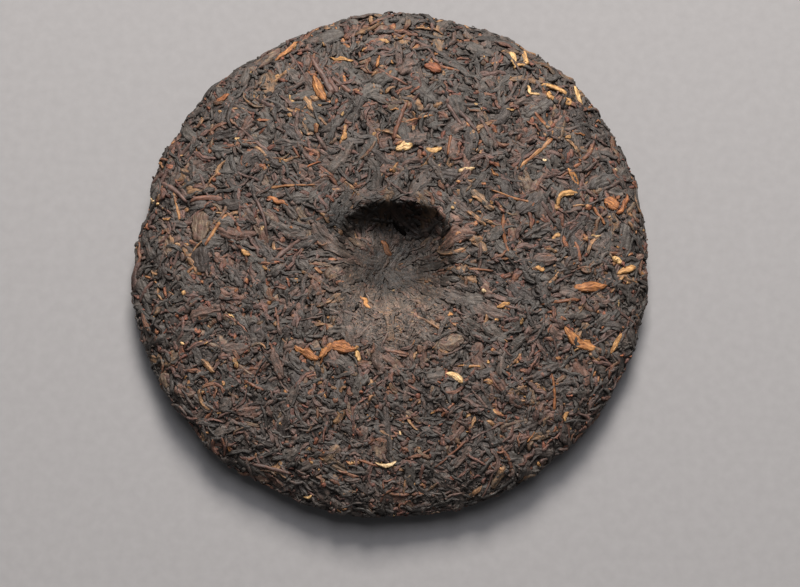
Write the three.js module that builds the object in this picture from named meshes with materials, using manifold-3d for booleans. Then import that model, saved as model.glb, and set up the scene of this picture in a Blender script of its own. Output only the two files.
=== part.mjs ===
// A round cake of pressed, ripened tea, about 200 mm across and 24 mm thick, lying with its dimpled back up.
// Millimetres, +Z up. The origin is on the table, under the middle of the outline.
// The cake is one solid: a lens-shaped body with the dimple, cloth folds and uneven rim that pressing leaves,
// and the larger rolled leaves, stalks and golden tips fused into its skin.
import * as THREE from "three";
import { mergeVertices } from "three/addons/utils/BufferGeometryUtils.js";
import Module from "manifold-3d";

// Driving sizes of the pressed body.
const cakeRadius = 100;
const rimLevel = 10.5; // height of the widest line above the table
const crownLevel = 24; // height of the shown face in the middle, if it had no dimple
const restRadius = 42; // flat spot that the cake lies on
const crownPower = 3.6; // how flat the shown face stays before it rolls over to the rim
const crownRoll = 0.56;
const underPower = 2.6;
const underRoll = 0.48;

// The dimple left by the knot of the cloth. The mouth's edge lies at a reach of its own on each side of the
// deepest point, so that the wall is steep on the +Y side and a long slope on the -Y side.
const pit = { x: 2, y: 1.5, depth: 13.5 };
const mouth = { left: 22, right: 22, far: 18, near: 25, squareness: 2.6 };
const steepWall = 5; // power of the wall's curve on the +Y side
const gentleWall = 1.7; // and on the -Y side
const hump = { x: -7, y: 6, height: 3, wide: 4.5 }; // leaf that stayed higher beside the knot

// Folds of the cloth, which run out from the middle of the knot.
const knot = { x: -3, y: -4.5 };
const foldCount = 13;
const foldDepth = 0.5;
const foldReach = 62;

// Places where the outline leaves the circle: direction and width in degrees, change of radius in mm.
const outlineChanges = [
  { at: 118, wide: 8, by: -2.6 },
  { at: 148, wide: 14, by: -1.6 },
  { at: 170, wide: 3.5, by: -3.0 },
  { at: 205, wide: 20, by: 1.4 },
  { at: 45, wide: 18, by: 0.8 },
];

// Slow swells and short lumps of the skin: wavelength and height in mm.
const swells = [
  { wave: 61, height: 0.35 },
  { wave: 37, height: 0.3 },
  { wave: 23, height: 0.26 },
  { wave: 14.5, height: 0.26 },
  { wave: 11, height: 0.26 },
  { wave: 8.5, height: 0.22 },
];
const cragHeight = 0.38; // flakes that stand up or have broken away, one at each point of the body's mesh
const goldenAngle = Math.PI * (3 - Math.sqrt(5));

// Mesh of the body.
const bodyDetail = 15; // splits of each icosahedron edge, less one
const pitCrowding = 4.5; // how much denser the mesh is around the dimple
const crowdingReach = 18;
const sectionSteps = 160;
const shortestEdge = 0.12;

// Large pieces that can be told apart on the shown face: place of the middle, heading of the length in degrees
// from +X, length, width, and the turn in degrees from one end to the other.
const markedLeaves = [
  { x: -28.5, y: 65.5, heading: -67, length: 14, width: 3.2, turn: 20 },
  { x: 54, y: 78.5, heading: -110, length: 15, width: 2.4, turn: -100 },
  { x: 48, y: 79.5, heading: -85, length: 10, width: 2.8, turn: 0 },
  { x: 64.5, y: 67.5, heading: -15, length: 14, width: 2.4, turn: -75 },
  { x: 70.5, y: 30.5, heading: -70, length: 9, width: 2.8, turn: 0 },
  { x: 66.5, y: 23, heading: 25, length: 14, width: 2.6, turn: -100 },
  { x: 85.5, y: 20, heading: -30, length: 9, width: 5, turn: 0 },
  { x: 88.5, y: -5.5, heading: 12, length: 11, width: 2.8, turn: 0 },
  { x: 76.5, y: -13, heading: 10, length: 15, width: 3.8, turn: 10 },
  { x: 71.5, y: -35, heading: -15, length: 17, width: 4.2, turn: 60 },
  { x: 24.5, y: -48, heading: -35, length: 9, width: 2.6, turn: -65 },
  { x: -25.5, y: -38.5, heading: -4, length: 24, width: 4.2, turn: 14 },
  { x: 3.5, y: 51.5, heading: -111, length: 18, width: 2.2, turn: 6 },
  { x: -27.5, y: 73, heading: -57, length: 21, width: 2.8, turn: 8 },
  { x: 29.5, y: 52, heading: -56, length: 13, width: 2.4, turn: 4 },
  { x: -71, y: 21.5, heading: 2, length: 15, width: 2.6, turn: -50 },
  { x: -85.5, y: 26, heading: -38, length: 17, width: 2.8, turn: -25 },
  { x: -73, y: 8.5, heading: -85, length: 12, width: 7.5, turn: 0 },
  { x: 52.5, y: 19, heading: 15, length: 13, width: 8, turn: 0 },
  { x: -44.5, y: 80, heading: 30, length: 15, width: 3, turn: 8 },
];

// Rolled leaves strewn by a rule: how many, and the largest length and width in mm.
const strewnShown = 40;
const strewnUnder = 20;
const strewnRim = 24;
const longestLeaf = 17;
const widestLeaf = 4.2;
const leafThickness = 0.7; // as a share of the width
const leafRise = 0.22; // how far a leaf's middle line lies above the skin, as a share of its thickness
const drawSeed = 357;

const teaColour = 0x3a2f2b;
const degrees = THREE.MathUtils.DEG2RAD;
const wasm = await Module();
wasm.setup();

// One seeded draw between two values.
let draws = 0;
function draw(low, high) {
  draws += 1;
  return low + (high - low) * THREE.MathUtils.seededRandom(drawSeed + draws * 7919);
}

function bell(distance, wide) {
  return Math.exp(-0.5 * (distance / wide) ** 2);
}

function turnBetween(a, b) {
  return ((((a - b + 540) % 360) + 360) % 360) - 180;
}

// How much the outline stretches or shrinks the body in one direction.
function outlineScale(azimuth) {
  let radius = cakeRadius;
  for (const change of outlineChanges) {
    radius += change.by * bell(turnBetween(azimuth / degrees, change.at), change.wide);
  }
  return radius / cakeRadius;
}

// Lumps of the skin at a point: waves in directions a golden angle apart, so that none lines up with another.
function lumps(x, y, z) {
  let height = 0;
  swells.forEach((swell, i) => {
    const direction = i * goldenAngle;
    const along = x * Math.cos(direction) + y * Math.sin(direction) + 1.3 * z;
    const across = y * Math.cos(direction) - x * Math.sin(direction);
    const bend = 0.8 * Math.sin((2 * Math.PI * across) / (swell.wave * 1.7) + i);
    height += swell.height * Math.sin((2 * Math.PI * along) / swell.wave + bend + i * i);
  });
  return height;
}

// Depth of the dimple below the shown face. The share runs from 0 at the pit to 1 at the mouth's edge.
function dimpleDepth(x, y) {
  const dx = x - pit.x;
  const dy = y - pit.y;
  const sideways = Math.abs(dx) / (dx > 0 ? mouth.right : mouth.left);
  const lengthways = Math.abs(dy) / (dy > 0 ? mouth.far : mouth.near);
  const share = (sideways ** mouth.squareness + lengthways ** mouth.squareness) ** (1 / mouth.squareness);
  if (share >= 1) return 0;
  const upward = 0.5 + (0.5 * dy) / Math.max(Math.hypot(dx, dy), 1e-9);
  const wall = gentleWall + (steepWall - gentleWall) * upward ** 2;
  const edge = 1 - THREE.MathUtils.smoothstep(share, 0.9, 1) * 0.15;
  const floor = pit.depth - hump.height * bell(Math.hypot(x - hump.x, y - hump.y), hump.wide);
  return floor * (1 - share ** wall) * edge;
}

// Grooves of the cloth's folds, deepest at the mouth and gone at foldReach.
function folds(x, y) {
  const dx = x - knot.x;
  const dy = y - knot.y;
  const reach = Math.hypot(dx, dy);
  const azimuth = Math.atan2(dy, dx);
  const fade = THREE.MathUtils.smoothstep(reach, 3, 14) * (1 - THREE.MathUtils.smoothstep(reach, 20, foldReach));
  const wander = 0.7 * Math.sin(3 * azimuth + 0.05 * reach);
  return -foldDepth * fade * Math.abs(Math.sin((foldCount * azimuth) / 2 + wander)) ** 0.6;
}

// The shown face's height at a radius counted on the round body, before lumps, folds and dimple.
function crown(radius) {
  const inside = Math.max(0, 1 - (radius / cakeRadius) ** crownPower);
  return rimLevel + (crownLevel - rimLevel) * inside ** crownRoll;
}

function under(radius) {
  const share = THREE.MathUtils.clamp((radius - restRadius) / (cakeRadius - restRadius), 0, 1);
  return rimLevel * (1 - (1 - share ** underPower) ** underRoll);
}

// Radius of the rim's skin at a height, the other way round from crown and under.
function rimRadius(level) {
  if (level >= rimLevel) {
    const rise = Math.min(1, (level - rimLevel) / (crownLevel - rimLevel));
    return cakeRadius * (1 - rise ** (1 / crownRoll)) ** (1 / crownPower);
  }
  const fall = Math.min(1, 1 - level / rimLevel);
  const share = (1 - fall ** (1 / underRoll)) ** (1 / underPower);
  return restRadius + (cakeRadius - restRadius) * share;
}

// The half section from the top centre over the rim to the middle of the underside, with its outward
// normals and the share of the skin that lies before each point.
function halfSection() {
  const points = [];
  for (let i = 0; i <= sectionSteps; i++) {
    const quarter = (Math.PI / 2) * (1 - i / sectionSteps);
    const r = cakeRadius * Math.cos(quarter) ** (2 / crownPower);
    points.push(new THREE.Vector2(r, rimLevel + (crownLevel - rimLevel) * Math.sin(quarter) ** (2 * crownRoll)));
  }
  for (let i = 1; i <= sectionSteps; i++) {
    const quarter = (Math.PI / 2) * (i / sectionSteps);
    const share = Math.abs(Math.cos(quarter)) ** (2 / underPower);
    const r = restRadius + (cakeRadius - restRadius) * share;
    points.push(new THREE.Vector2(r, rimLevel * (1 - Math.sin(quarter) ** (2 * underRoll))));
  }
  const flatSteps = sectionSteps / 4;
  for (let i = 1; i <= flatSteps; i++) points.push(new THREE.Vector2(restRadius * (1 - i / flatSteps), 0));
  const section = points.map((point, i) => {
    const before = points[Math.max(0, i - 1)];
    const after = points[Math.min(points.length - 1, i + 1)];
    const tangent = after.clone().sub(before).normalize();
    return { point, normal: new THREE.Vector2(-tangent.y, tangent.x), share: 0 };
  });
  for (let i = 1; i < section.length; i++) {
    const a = section[i - 1].point;
    const b = section[i].point;
    const crowded = b.y > rimLevel ? pitCrowding * bell(b.x, crowdingReach) : 0;
    section[i].share = section[i - 1].share + 0.5 * (a.x + b.x) * a.distanceTo(b) * (1 + crowded);
  }
  const total = section.at(-1).share;
  for (const sample of section) sample.share /= total;
  return section;
}

// Moves a point of the round section out to the uneven skin.
function skinPoint(radius, level, normalOut, normalUp, azimuth, crag) {
  const scale = outlineScale(azimuth);
  const x = radius * scale * Math.cos(azimuth);
  const y = radius * scale * Math.sin(azimuth);
  const clearOfRest = normalUp < -0.5 ? THREE.MathUtils.smoothstep(radius, restRadius, restRadius + 14) : 1;
  const height = (lumps(x, y, level) + crag) * clearOfRest;
  const sunk = normalUp > 0.2 ? dimpleDepth(x, y) - folds(x, y) : 0;
  return new THREE.Vector3(
    x + height * normalOut * Math.cos(azimuth),
    y + height * normalOut * Math.sin(azimuth),
    Math.max(0, level + height * normalUp - sunk),
  );
}

// The body: an icosahedron's even mesh spread over the section, each point by its share of the skin.
function pressedBody() {
  const section = halfSection();
  const geometry = new THREE.IcosahedronGeometry(1, bodyDetail);
  geometry.deleteAttribute("normal");
  geometry.deleteAttribute("uv");
  const merged = mergeVertices(geometry, 1e-4);
  const position = merged.getAttribute("position");
  const spot = new THREE.Vector3();
  for (let i = 0; i < position.count; i++) {
    spot.fromBufferAttribute(position, i).normalize();
    const share = (1 - spot.z) / 2;
    let k = section.findIndex((sample) => sample.share >= share);
    if (k < 1) k = share > 0.5 ? section.length - 1 : 1;
    const a = section[k - 1];
    const b = section[k];
    const t = THREE.MathUtils.clamp((share - a.share) / (b.share - a.share), 0, 1);
    const point = a.point.clone().lerp(b.point, t);
    const normal = a.normal.clone().lerp(b.normal, t).normalize();
    const crag = draw(-cragHeight, cragHeight);
    const placed = skinPoint(point.x, point.y, normal.x, normal.y, Math.atan2(spot.y, spot.x), crag);
    position.setXYZ(i, placed.x, placed.y, placed.z);
  }
  return solidOf(merged);
}

function solidOf(geometry) {
  return new wasm.Manifold(
    new wasm.Mesh({
      numProp: 3,
      vertProperties: new Float32Array(geometry.getAttribute("position").array),
      triVerts: new Uint32Array(geometry.index.array),
    }),
  );
}

// A rolled leaf, bent in its own plane by its turn and pointed at both ends. place() takes each point from
// (along, across, up) in the leaf's plane to the cake.
function rolledLeaf(leaf, place) {
  const sides = 4;
  const stations = Math.max(2, Math.round(leaf.length / 5));
  const radius = leaf.width / 2;
  const capsule = new THREE.CapsuleGeometry(radius, leaf.length - leaf.width, 1, sides, stations);
  capsule.deleteAttribute("normal");
  capsule.deleteAttribute("uv");
  const merged = mergeVertices(capsule, 1e-3);
  const position = merged.getAttribute("position");
  const thickness = Math.min(2.2, leaf.width * leafThickness);
  const turn = leaf.turn * degrees || 1e-3;
  const bendRadius = leaf.length / turn;
  for (let i = 0; i < position.count; i++) {
    const along = position.getY(i);
    const narrowed = 1 - 0.5 * ((2 * along) / leaf.length) ** 2;
    const across = -position.getX(i) * narrowed;
    const up = position.getZ(i) * narrowed * (thickness / leaf.width) + thickness * leafRise;
    const angle = along / bendRadius;
    const placed = place(
      (bendRadius - across) * Math.sin(angle),
      bendRadius - (bendRadius - across) * Math.cos(angle),
      up,
    );
    position.setXYZ(i, placed.x, placed.y, placed.z);
  }
  const solid = solidOf(merged);
  return solid.volume() > 0 ? solid : null;
}

// A leaf that lies on the shown face (side 1) or on the underside (side -1).
function leafOnFace(leaf, side) {
  const heading = leaf.heading * degrees;
  return rolledLeaf(leaf, (along, across, up) => {
    const x = leaf.x + along * Math.cos(heading) - across * Math.sin(heading) * side;
    const y = leaf.y + along * Math.sin(heading) + across * Math.cos(heading) * side;
    const radius = Math.hypot(x, y) / outlineScale(Math.atan2(y, x));
    if (side < 0) {
      const level = under(radius);
      return new THREE.Vector3(x, y, level - lumps(x, y, level) - up);
    }
    const level = crown(radius);
    return new THREE.Vector3(x, y, level + lumps(x, y, level) - dimpleDepth(x, y) + folds(x, y) + up);
  });
}

// A leaf that lies on the rim, at an azimuth in degrees and a height.
function leafOnRim(leaf) {
  const heading = leaf.heading * degrees;
  return rolledLeaf(leaf, (along, across, up) => {
    const forward = along * Math.cos(heading) - across * Math.sin(heading);
    const level = leaf.level + along * Math.sin(heading) + across * Math.cos(heading);
    const azimuth = leaf.azimuth * degrees + forward / cakeRadius;
    const held = THREE.MathUtils.clamp(level, 1, crownLevel - 3);
    const radius = rimRadius(held) * outlineScale(azimuth) + up;
    return new THREE.Vector3(radius * Math.cos(azimuth), radius * Math.sin(azimuth), level);
  });
}

function drawnLeaf() {
  const length = draw(0.55, 1) * longestLeaf;
  return { length, width: draw(0.55, 1) * widestLeaf, heading: draw(0, 180), turn: draw(-70, 70) };
}

// Even spots on a disc, each a golden angle on from the last, with a little play.
function strewn(count, least, most) {
  return Array.from({ length: count }, (_, i) => {
    const share = (i + 0.5) / count;
    const radius = Math.sqrt(least ** 2 + (most ** 2 - least ** 2) * share) + draw(-2, 2);
    const azimuth = i * goldenAngle;
    return { ...drawnLeaf(), x: radius * Math.cos(azimuth), y: radius * Math.sin(azimuth) };
  });
}

function clearOfMarked(leaf) {
  return markedLeaves.every((marked) => Math.hypot(marked.x - leaf.x, marked.y - leaf.y) > 9);
}

function allLeaves() {
  const mouthClear = mouth.near + 6;
  const shown = strewn(strewnShown, mouthClear, cakeRadius - 10).filter(clearOfMarked);
  const below = strewn(strewnUnder, restRadius + 8, cakeRadius - 12);
  const rim = Array.from({ length: strewnRim }, (_, i) => ({
    ...drawnLeaf(),
    azimuth: (i * 360) / strewnRim + draw(-4, 4),
    level: rimLevel + draw(-4, 3.5),
    heading: draw(-28, 28),
  }));
  return [
    ...markedLeaves.map((leaf) => leafOnFace(leaf, 1)),
    ...shown.map((leaf) => leafOnFace(leaf, 1)),
    ...below.map((leaf) => leafOnFace(leaf, -1)),
    ...rim.map(leafOnRim),
  ].filter(Boolean);
}

// Everything below the table is pressed away, so that the cake lies on a true flat spot.
function tableBlock() {
  const depth = 10;
  const block = new THREE.BoxGeometry(4 * cakeRadius, 4 * cakeRadius, depth).translate(0, 0, -depth / 2);
  block.deleteAttribute("normal");
  block.deleteAttribute("uv");
  return solidOf(mergeVertices(block, 1e-3));
}

// Joining leaves slivers where leaves graze each other. Each edge under the limit shrinks to a point, where
// its two ends share just the two neighbours that keep the surface closed.
function withoutShortEdges(points, triangles, limit) {
  const around = new Map();
  const facesAt = (vertex) => around.get(vertex) ?? around.set(vertex, new Set()).get(vertex);
  const faces = [];
  for (let i = 0; i < triangles.length; i += 3) faces.push([...triangles.subarray(i, i + 3)]);
  faces.forEach((face) => face.forEach((vertex) => facesAt(vertex).add(face)));
  const at = (vertex) => new THREE.Vector3().fromArray(points, 3 * vertex);
  const neighbours = (vertex) => new Set([...facesAt(vertex)].flat().filter((other) => other !== vertex));
  const shrinkTo = (kept, lost) => {
    for (const face of [...facesAt(lost)]) {
      const closes = face.includes(kept);
      face.forEach((vertex) => facesAt(vertex).delete(face));
      if (closes) continue;
      face[face.indexOf(lost)] = kept;
      face.forEach((vertex) => facesAt(vertex).add(face));
    }
  };
  let shrunk = true;
  while (shrunk) {
    shrunk = false;
    for (const kept of [...around.keys()]) {
      const near = neighbours(kept);
      for (const lost of near) {
        if (at(kept).distanceTo(at(lost)) >= limit) continue;
        const shared = [...neighbours(lost)].filter((vertex) => near.has(vertex));
        if (shared.length !== 2) continue;
        shrinkTo(kept, lost);
        shrunk = true;
        break;
      }
    }
  }
  return [...new Set([...around.values()].flatMap((set) => [...set]))].flat();
}

function geometryOf(solid) {
  const mesh = solid.getMesh();
  const triangles = withoutShortEdges(mesh.vertProperties, mesh.triVerts, shortestEdge);
  return new THREE.BufferGeometry()
    .setAttribute("position", new THREE.BufferAttribute(mesh.vertProperties, mesh.numProp))
    .setIndex(triangles);
}

function teaCake() {
  let cake = pressedBody();
  for (const leaf of allLeaves()) cake = cake.add(leaf);
  cake = cake.subtract(tableBlock());
  const largest = cake.decompose().sort((a, b) => b.volume() - a.volume())[0];
  const geometry = geometryOf(largest);
  geometry.computeBoundingBox();
  const middle = geometry.boundingBox.getCenter(new THREE.Vector3());
  geometry.translate(-middle.x, -middle.y, -geometry.boundingBox.min.z);
  geometry.computeVertexNormals();
  const material = new THREE.MeshStandardMaterial({ color: teaColour, roughness: 0.75, metalness: 0 });
  const mesh = new THREE.Mesh(geometry, material);
  mesh.name = "tea_cake";
  return mesh;
}

const cake = new THREE.Group();
cake.add(teaCake());

export default cake;
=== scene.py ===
import bpy
import numpy as np
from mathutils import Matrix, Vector


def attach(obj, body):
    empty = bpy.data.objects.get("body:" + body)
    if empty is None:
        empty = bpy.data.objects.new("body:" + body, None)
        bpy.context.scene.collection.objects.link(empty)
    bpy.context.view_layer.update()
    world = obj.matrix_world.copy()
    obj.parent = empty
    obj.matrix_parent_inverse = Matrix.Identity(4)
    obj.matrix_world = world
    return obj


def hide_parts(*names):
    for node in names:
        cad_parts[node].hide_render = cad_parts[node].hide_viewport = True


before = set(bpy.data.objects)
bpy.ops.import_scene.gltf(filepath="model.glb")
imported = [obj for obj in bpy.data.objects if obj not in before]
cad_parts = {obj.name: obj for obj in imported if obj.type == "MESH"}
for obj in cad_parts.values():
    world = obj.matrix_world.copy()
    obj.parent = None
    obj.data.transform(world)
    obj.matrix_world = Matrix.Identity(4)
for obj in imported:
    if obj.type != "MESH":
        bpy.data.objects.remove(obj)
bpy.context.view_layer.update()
print("frame loaded")

# A round cake of pressed, ripened tea that lies with its dimpled back up. +Z is up, +Y towards the far side.
# Sizes are in mm, and each mesh is turned to metres as it is made.
mm = 0.001
goldenAngle = np.pi * (3 - np.sqrt(5))
tiny = 1e-9                  # keeps a division from meeting 0
draw = np.random.default_rng(357)

# The pressed body, the same as the solid's.
cake = {
    "radius": 100.0,
    "rimLevel": 10.5,          # height of the widest line
    "crownLevel": 24.0,        # height of the shown face without its dimple
    "restRadius": 42.0,        # flat spot underneath
    "crownPower": 3.6,
    "crownRoll": 0.56,
    "underPower": 2.6,
    "underRoll": 0.48,
    "shift": (0.26, -0.39, 0.0),   # from the round body's centre to the middle of the uneven outline
    # where the outline leaves the circle: direction and width in degrees, change of radius
    "outline": [(118, 8, -2.6), (148, 14, -1.6), (170, 3.5, -3.0), (205, 20, 1.4), (45, 18, 0.8)],
    # slow swells and short lumps: wavelength and height
    "swells": [(61, 0.35), (37, 0.3), (23, 0.26), (14.5, 0.26), (11, 0.26), (8.5, 0.22)],
    # crumple of the leaf layer itself
    "crumples": [(6.3, 0.11), (4.9, 0.1), (3.9, 0.09), (3.1, 0.07), (2.4, 0.05)],
    "waveBend": 0.8, "waveBendLength": 1.7,    # bend of each wave, and its length over the wave's own
    "waveRise": 1.3,           # how much faster a wave runs up the rim than along the face
    "restFade": 14.0,          # the swells fade out over this width round the flat spot
    "rubbedFlat": 0.6,         # share of the crumple that is gone where the cloth has rubbed
    # the normal's upward part is below the first at the flat spot and above the second in the dimple
    "restUpward": -0.5, "dimpleUpward": 0.2,
    "quarterPoints": 500, "sectionPoints": 1200,   # points on a quarter of the section, and on all of it
}

# The dimple of the cloth's knot. The mouth's edge lies at a reach of its own on each side of the deepest
# point, and the folds run out from the knot's middle.
dimple = {
    "pit": (2.0, 1.5),
    "depth": 13.5,
    "left": 22.0, "right": 22.0, "far": 18.0, "near": 25.0,
    "squareness": 2.6,         # 2 would be round
    "steepWall": 5.0,          # power of the wall's curve on the +Y side
    "gentleWall": 1.7,         # and on the -Y side
    "lipFall": 0.15, "lipFrom": 0.9,           # how much the lip sinks, and from which share of the way on
    "hump": (-7.0, 6.0), "humpHeight": 3.0, "humpWide": 4.5,   # leaf that stayed higher beside the knot
    "knot": (-3.0, -4.5),
    "foldCount": 13,
    "foldDepth": 0.5,
    "foldReach": (3.0, 14.0, 20.0, 62.0),      # from the knot: none, full, full, none
    "foldWander": (0.7, 3, 0.05),              # how far, how often round the knot and how fast outwards
    "foldSharp": 0.6,
}


# 0 below low, 1 above high, and 3t^2 - 2t^3 between them.
def smooth(value, low, high):
    t = np.clip((value - low) / (high - low), 0, 1)
    return t * t * (3 - 2 * t)


# 0 outside the outer values, 1 between the inner ones.
def within(value, outerLow, innerLow, innerHigh, outerHigh):
    return smooth(value, outerLow, innerLow) * (1 - smooth(value, innerHigh, outerHigh))


# 1 at no distance, falling as e to the power of -distance^2 / (2 wide^2).
def bell(distance, wide):
    return np.exp(-0.5 * (distance / wide) ** 2)


# Vectors over their own lengths.
def unit(vectors):
    return vectors / np.maximum(np.linalg.norm(vectors, axis=-1, keepdims=True), tiny)


# Outline radius over the round body's: 1 plus one bell for each change.
def outlineScale(azimuth):
    radius = np.full(np.shape(azimuth), cake["radius"])
    for at, wide, by in cake["outline"]:
        turn = (np.degrees(azimuth) - at + 540) % 360 - 180
        radius += by * bell(turn, wide)
    return radius / cake["radius"]


# Sum of bent waves, each running a golden angle on from the last.
def lumps(x, y, z, waves):
    height = 0
    for i, (wave, rise) in enumerate(waves):
        c, s = np.cos(i * goldenAngle), np.sin(i * goldenAngle)
        ahead = x * c + y * s + cake["waveRise"] * z
        across = y * c - x * s
        bend = cake["waveBend"] * np.sin(2 * np.pi * across / (wave * cake["waveBendLength"]) + i)
        height = height + rise * np.sin(2 * np.pi * ahead / wave + bend + i * i)
    return height


# Share of the way from the pit to the mouth's edge (|u|^n + |v|^n)^(1/n), with u and v counted in the reach
# on their side, and how far the direction has turned from -Y, 0, to +Y, 1.
def mouthPlace(x, y):
    dx, dy = x - dimple["pit"][0], y - dimple["pit"][1]
    u = np.abs(dx) / np.where(dx > 0, dimple["right"], dimple["left"])
    v = np.abs(dy) / np.where(dy > 0, dimple["far"], dimple["near"])
    share = (u ** dimple["squareness"] + v ** dimple["squareness"]) ** (1 / dimple["squareness"])
    return share, 0.5 + 0.5 * dy / np.maximum(np.hypot(dx, dy), tiny)


# Depth is full at the pit, less the hump, and falls as 1 - share^wall, with a wall that steepens towards +Y.
def dimpleDepth(x, y):
    share, upward = mouthPlace(x, y)
    share = np.minimum(share, 1)
    wall = dimple["gentleWall"] + (dimple["steepWall"] - dimple["gentleWall"]) * upward ** 2
    edge = 1 - dimple["lipFall"] * smooth(share, dimple["lipFrom"], 1)
    fromHump = np.hypot(x - dimple["hump"][0], y - dimple["hump"][1])
    floor = dimple["depth"] - dimple["humpHeight"] * bell(fromHump, dimple["humpWide"])
    return floor * (1 - share ** wall) * edge


# Distance and direction from the knot's middle.
def fromKnot(x, y):
    dx, dy = x - dimple["knot"][0], y - dimple["knot"][1]
    return np.hypot(dx, dy), np.arctan2(dy, dx)


# Grooves |sin| to a power round the knot, which fade in at its middle and out at the folds' reach.
def foldGroove(x, y):
    reach, azimuth = fromKnot(x, y)
    fade = within(reach, *dimple["foldReach"])
    swing, around, outward = dimple["foldWander"]
    wander = swing * np.sin(around * azimuth + outward * reach)
    groove = np.abs(np.sin(dimple["foldCount"] * azimuth / 2 + wander)) ** dimple["foldSharp"]
    return -dimple["foldDepth"] * fade * groove


# Half section from the top centre over the rim to the middle of the underside: two superellipse quarters and
# a flat, with the way along it, its outward normals and the share of the skin before each point.
def halfSection():
    steps = cake["quarterPoints"]
    quarter = np.linspace(0, np.pi / 2, steps)
    rise = cake["crownLevel"] - cake["rimLevel"]
    topR = cake["radius"] * np.sin(quarter) ** (2 / cake["crownPower"])
    topZ = cake["rimLevel"] + rise * np.cos(quarter) ** (2 * cake["crownRoll"])
    lowSpan = cake["radius"] - cake["restRadius"]
    lowR = cake["restRadius"] + lowSpan * np.abs(np.cos(quarter)) ** (2 / cake["underPower"])
    lowZ = cake["rimLevel"] * (1 - np.sin(quarter) ** (2 * cake["underRoll"]))
    flatR = np.linspace(cake["restRadius"], 0, steps // 2)
    r = np.concatenate([topR, lowR[1:], flatR[1:]])
    z = np.concatenate([topZ, lowZ[1:], np.zeros(steps // 2 - 1)])
    way = np.concatenate([[0], np.cumsum(np.hypot(np.diff(r), np.diff(z)))])
    even = np.linspace(0, way[-1], cake["sectionPoints"])
    r, z = np.interp(even, way, r), np.interp(even, way, z)
    dr, dz = np.gradient(r), np.gradient(z)
    length = np.hypot(dr, dz)
    area = np.cumsum(r)
    return {"way": even, "r": r, "z": z, "out": -dz / length, "up": dr / length, "share": area / area[-1]}


section = halfSection()

# Table of the way along the section to the place nearest to a point, in mm. The last place that is read lies
# a hair more than one step from the table's end.
nearGrid = {"step": 0.5, "lowZ": -8.0, "countR": 230, "countZ": 86, "endGap": 1.001}


# For each entry of the table, the way of the section point at the least distance.
def nearestWays():
    r = np.arange(nearGrid["countR"]) * nearGrid["step"]
    z = nearGrid["lowZ"] + np.arange(nearGrid["countZ"]) * nearGrid["step"]
    gaps = [(r[:, None] - section["r"]) ** 2 + (level - section["z"]) ** 2 for level in z]
    return section["way"][np.array([np.argmin(gap, axis=1) for gap in gaps]).T]


nearTable = nearestWays()


# Way read between the four entries of the table round each place, weighted by nearness.
def wayOf(r, z):
    i = np.clip(r / nearGrid["step"], 0, nearGrid["countR"] - nearGrid["endGap"])
    j = np.clip((z - nearGrid["lowZ"]) / nearGrid["step"], 0, nearGrid["countZ"] - nearGrid["endGap"])
    i0, j0 = i.astype(int), j.astype(int)
    fi, fj = i - i0, j - j0
    low = nearTable[i0, j0] * (1 - fi) + nearTable[i0 + 1, j0] * fi
    high = nearTable[i0, j0 + 1] * (1 - fi) + nearTable[i0 + 1, j0 + 1] * fi
    return low * (1 - fj) + high * fj


# A value of the section, read at a way along it.
def along(name, way):
    return np.interp(way, section["way"], section[name])


# The smooth lens at a way along its section and an azimuth: (r cos azimuth, r sin azimuth, z).
def lensPoint(way, azimuth):
    r = along("r", way) * outlineScale(azimuth)
    return np.stack([r * np.cos(azimuth), r * np.sin(azimuth), along("z", way)], axis=-1)


# Its outward normal: (out cos azimuth, out sin azimuth, up) over its length.
def lensNormal(way, azimuth):
    out = along("out", way)
    return unit(np.stack([out * np.cos(azimuth), out * np.sin(azimuth), along("up", way)], axis=-1))


# Way and azimuth of the lens point nearest to each point.
def lensPlace(points):
    azimuth = np.arctan2(points[..., 1], points[..., 0])
    r = np.hypot(points[..., 0], points[..., 1]) / outlineScale(azimuth)
    return wayOf(r, points[..., 2]), azimuth


# The uneven skin: the lens moved along its normal by the lumps, then down by the dimple and the folds.
def skinPoint(way, azimuth):
    base, out = lensPoint(way, azimuth), lensNormal(way, azimuth)
    x, y, z = base[..., 0], base[..., 1], base[..., 2]
    offRest = smooth(np.hypot(x, y), cake["restRadius"], cake["restRadius"] + cake["restFade"])
    clearOfRest = np.where(out[..., 2] < cake["restUpward"], offRest, 1)
    height = lumps(x, y, z, cake["swells"]) * clearOfRest
    flattened = cake["rubbedFlat"] * polish(x, y) * (out[..., 2] > 0)
    height = height + lumps(x, y, z, cake["crumples"]) * (1 - flattened)
    skin = base + out * height[..., None]
    inDimple = out[..., 2] > cake["dimpleUpward"]
    skin[..., 2] -= np.where(inDimple, dimpleDepth(x, y) - foldGroove(x, y), 0)
    return skin


normalStep = 0.35            # mm either way


# Skin point and outward normal under each point: the normal is the cross product of two short steps.
def skinUnder(points):
    way, azimuth = lensPlace(points)
    out = lensNormal(way, azimuth)
    side = unit(np.stack([-np.sin(azimuth), np.cos(azimuth), np.zeros_like(azimuth)], axis=-1))
    up = np.cross(out, side)
    here = skinPoint(way, azimuth)
    base = lensPoint(way, azimuth)
    right = skinPoint(*lensPlace(base + side * normalStep)) - skinPoint(*lensPlace(base - side * normalStep))
    ahead = skinPoint(*lensPlace(base + up * normalStep)) - skinPoint(*lensPlace(base - up * normalStep))
    return here, unit(np.cross(right, ahead))


tableSoftness = 0.18         # mm


# Heights near the table flatten softly on to it, as s log(1 + e^(z/s)), so that nothing goes below it.
def pressedOnTable(points):
    points[..., 2] = tableSoftness * np.logaddexp(0, points[..., 2] / tableSoftness)
    return points


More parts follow.
